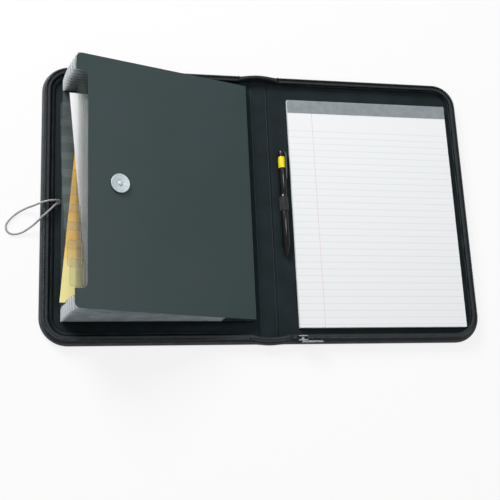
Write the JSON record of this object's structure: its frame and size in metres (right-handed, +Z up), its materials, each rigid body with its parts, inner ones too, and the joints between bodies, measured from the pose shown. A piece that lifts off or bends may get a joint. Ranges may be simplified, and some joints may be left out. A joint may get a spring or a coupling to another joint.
{
  "type": "zip-around padfolio with accordion file",
  "caption": "Zip-around leatherette padfolio lying open, with a built-in accordion file in one half and a writing pad and pen in the other.",
  "frame": {"origin": "on the table, under the middle of the spine and of the open case", "axes": "+X from the file half to the pad half, +Y along the spine away from the reader, +Z up"},
  "size_m": [0.5833, 0.351, 0.0826],
  "materials": {
    "leatherette": "fine grained black leatherette",
    "greyboard": "grey card",
    "lining": "dark green-black woven lining",
    "zip_tape": "black woven tape",
    "zip_chain": "black nylon coil",
    "zip_metal": "nickel plated",
    "file_panel": "dark green-grey polypropylene, fine matt",
    "file_leaf": "frosted grey polypropylene",
    "bellows_film": "frosted translucent film",
    "button_metal": "matt aluminium",
    "elastic": "silver-grey braided elastic",
    "paper": "ruled white paper",
    "pad_tape": "grey binding tape",
    "pen_black": "gloss black",
    "pen_yellow": "bright yellow",
    "folder_card": "golden yellow card"
  },
  "bodies": {
    "tray": {"tray_skin": "leatherette", "tray_binding": "leatherette", "tray_board": "greyboard", "tray_lining": "lining", "tray_wall": "leatherette", "tray_fold": "leatherette", "tray_gusset": "lining", "tray_zip_tape": "zip_tape", "tray_zip_chain": "zip_chain", "tray_zip_stops": "zip_metal", "file_back_panel": "file_panel", "file_spine_strip": "file_panel", "bellows_far": "bellows_film", "bellows_near": "bellows_film", "elastic_loop": "elastic", "loop_anchor": "button_metal"},
    "spine": {"spine_skin": "leatherette", "spine_binding": "leatherette", "spine_board": "greyboard", "spine_lining": "lining", "spine_gussets": "lining", "cover_fold": "leatherette"},
    "cover": {"cover_skin": "leatherette", "cover_binding": "leatherette", "cover_board": "greyboard", "cover_lining": "lining", "cover_wall": "leatherette", "cover_gusset": "lining", "cover_zip_tape": "zip_tape", "cover_zip_chain": "zip_chain", "cover_zip_stops": "zip_metal", "pad_card": "greyboard", "pad_sleeve": "lining", "pad_sheets": "paper", "pad_strip": "pad_tape", "pen_loop": "elastic"},
    "leaf_1": {"divider_1": "file_leaf"},
    "leaf_2": {"divider_2": "file_leaf"},
    "leaf_3": {"divider_3": "file_leaf"},
    "leaf_4": {"divider_4": "file_leaf", "yellow_folder": "folder_card"},
    "leaf_5": {"divider_5": "file_leaf"},
    "leaf_6": {"divider_6": "file_leaf", "white_sheet": "paper"},
    "leaf_7": {"divider_7": "file_leaf"},
    "leaf_8": {"divider_8": "file_leaf"},
    "leaf_9": {"divider_9": "file_leaf"},
    "leaf_10": {"divider_10": "file_leaf"},
    "front": {"file_front_panel": "file_panel", "button_spacer": "button_metal", "button_disc": "button_metal", "button_rivet": "button_metal"},
    "slider": {"zip_slider": "zip_metal"},
    "pull": {"zip_pull": "zip_metal"},
    "pen": {"pen_barrel": "pen_black", "pen_band": "pen_yellow", "pen_clip": "pen_black"}
  },
  "joints": [
    {"name": "case_fold", "type": "hinge", "parent": "tray", "child": "spine", "pos_m": [-0.014, 0, 0.0006], "axis": [0, -1, 0], "range_deg": [0, 90], "deforming": ["tray_fold", "bellows_far", "bellows_near", "elastic_loop"]},
    {"name": "cover_swing", "type": "hinge", "parent": "spine", "child": "cover", "pos_m": [0.014, 0, 0.0006], "axis": [0, -1, 0], "range_deg": [0, 90], "deforming": ["cover_fold"]},
    {"name": "pocket_1", "type": "hinge", "parent": "tray", "child": "leaf_1", "pos_m": [-0.0188, 0, 0.00555], "axis": [0, 1, 0], "range_deg": [-0.902, 0]},
    {"name": "pocket_2", "type": "hinge", "parent": "leaf_1", "child": "leaf_2", "pos_m": [-0.0188, 0, 0.0063], "axis": [0, 1, 0], "range_deg": [-1.05, 0]},
    {"name": "pocket_3", "type": "hinge", "parent": "leaf_2", "child": "leaf_3", "pos_m": [-0.0188, 0, 0.00705], "axis": [0, 1, 0], "range_deg": [-1.2, 0]},
    {"name": "pocket_4", "type": "hinge", "parent": "leaf_3", "child": "leaf_4", "pos_m": [-0.0188, 0, 0.0078], "axis": [0, 1, 0], "range_deg": [-1.34, 0]},
    {"name": "pocket_5", "type": "hinge", "parent": "leaf_4", "child": "leaf_5", "pos_m": [-0.0188, 0, 0.00855], "axis": [0, 1, 0], "range_deg": [-1.49, 0]},
    {"name": "pocket_6", "type": "hinge", "parent": "leaf_5", "child": "leaf_6", "pos_m": [-0.0188, 0, 0.0093], "axis": [0, 1, 0], "range_deg": [-1.64, 0]},
    {"name": "pocket_7", "type": "hinge", "parent": "leaf_6", "child": "leaf_7", "pos_m": [-0.0188, 0, 0.01005], "axis": [0, 1, 0], "range_deg": [-1.79, 0]},
    {"name": "pocket_8", "type": "hinge", "parent": "leaf_7", "child": "leaf_8", "pos_m": [-0.0188, 0, 0.0108], "axis": [0, 1, 0], "range_deg": [-1.93, 0]},
    {"name": "pocket_9", "type": "hinge", "parent": "leaf_8", "child": "leaf_9", "pos_m": [-0.0188, 0, 0.01155], "axis": [0, 1, 0], "range_deg": [-2.08, 0]},
    {"name": "pocket_10", "type": "hinge", "parent": "leaf_9", "child": "leaf_10", "pos_m": [-0.0188, 0, 0.0123], "axis": [0, 1, 0], "range_deg": [-2.23, 0]},
    {"name": "pocket_11", "type": "hinge", "parent": "leaf_10", "child": "front", "pos_m": [-0.0188, 0, 0.01305], "axis": [0, 1, 0], "range_deg": [-2.38, 0]},
    {"name": "zip_slide", "type": "slide", "parent": "cover", "child": "slider", "axis": [1, 0, 0], "range_m": [0, 0.185]},
    {"name": "pull_swing", "type": "hinge", "parent": "slider", "child": "pull", "pos_m": [0.038, -0.1742, 0.0146], "axis": [0, 0, -1], "range_deg": [0, 110]},
    {"name": "pen_slide", "type": "slide", "parent": "cover", "child": "pen", "axis": [0, 1, 0], "range_m": [0, 0.08]}
  ],
  "couplings": [
    {"joint": "cover_swing", "follows": "case_fold", "ratio": 1},
    {"joint": "pocket_1", "follows": "case_fold", "ratio": -0.01},
    {"joint": "pocket_2", "follows": "case_fold", "ratio": -0.011636},
    {"joint": "pocket_3", "follows": "case_fold", "ratio": -0.013273},
    {"joint": "pocket_4", "follows": "case_fold", "ratio": -0.014909},
    {"joint": "pocket_5", "follows": "case_fold", "ratio": -0.016545},
    {"joint": "pocket_6", "follows": "case_fold", "ratio": -0.018182},
    {"joint": "pocket_7", "follows": "case_fold", "ratio": -0.019818},
    {"joint": "pocket_8", "follows": "case_fold", "ratio": -0.021455},
    {"joint": "pocket_9", "follows": "case_fold", "ratio": -0.023091},
    {"joint": "pocket_10", "follows": "case_fold", "ratio": -0.024727},
    {"joint": "pocket_11", "follows": "case_fold", "ratio": -0.026364}
  ]
}
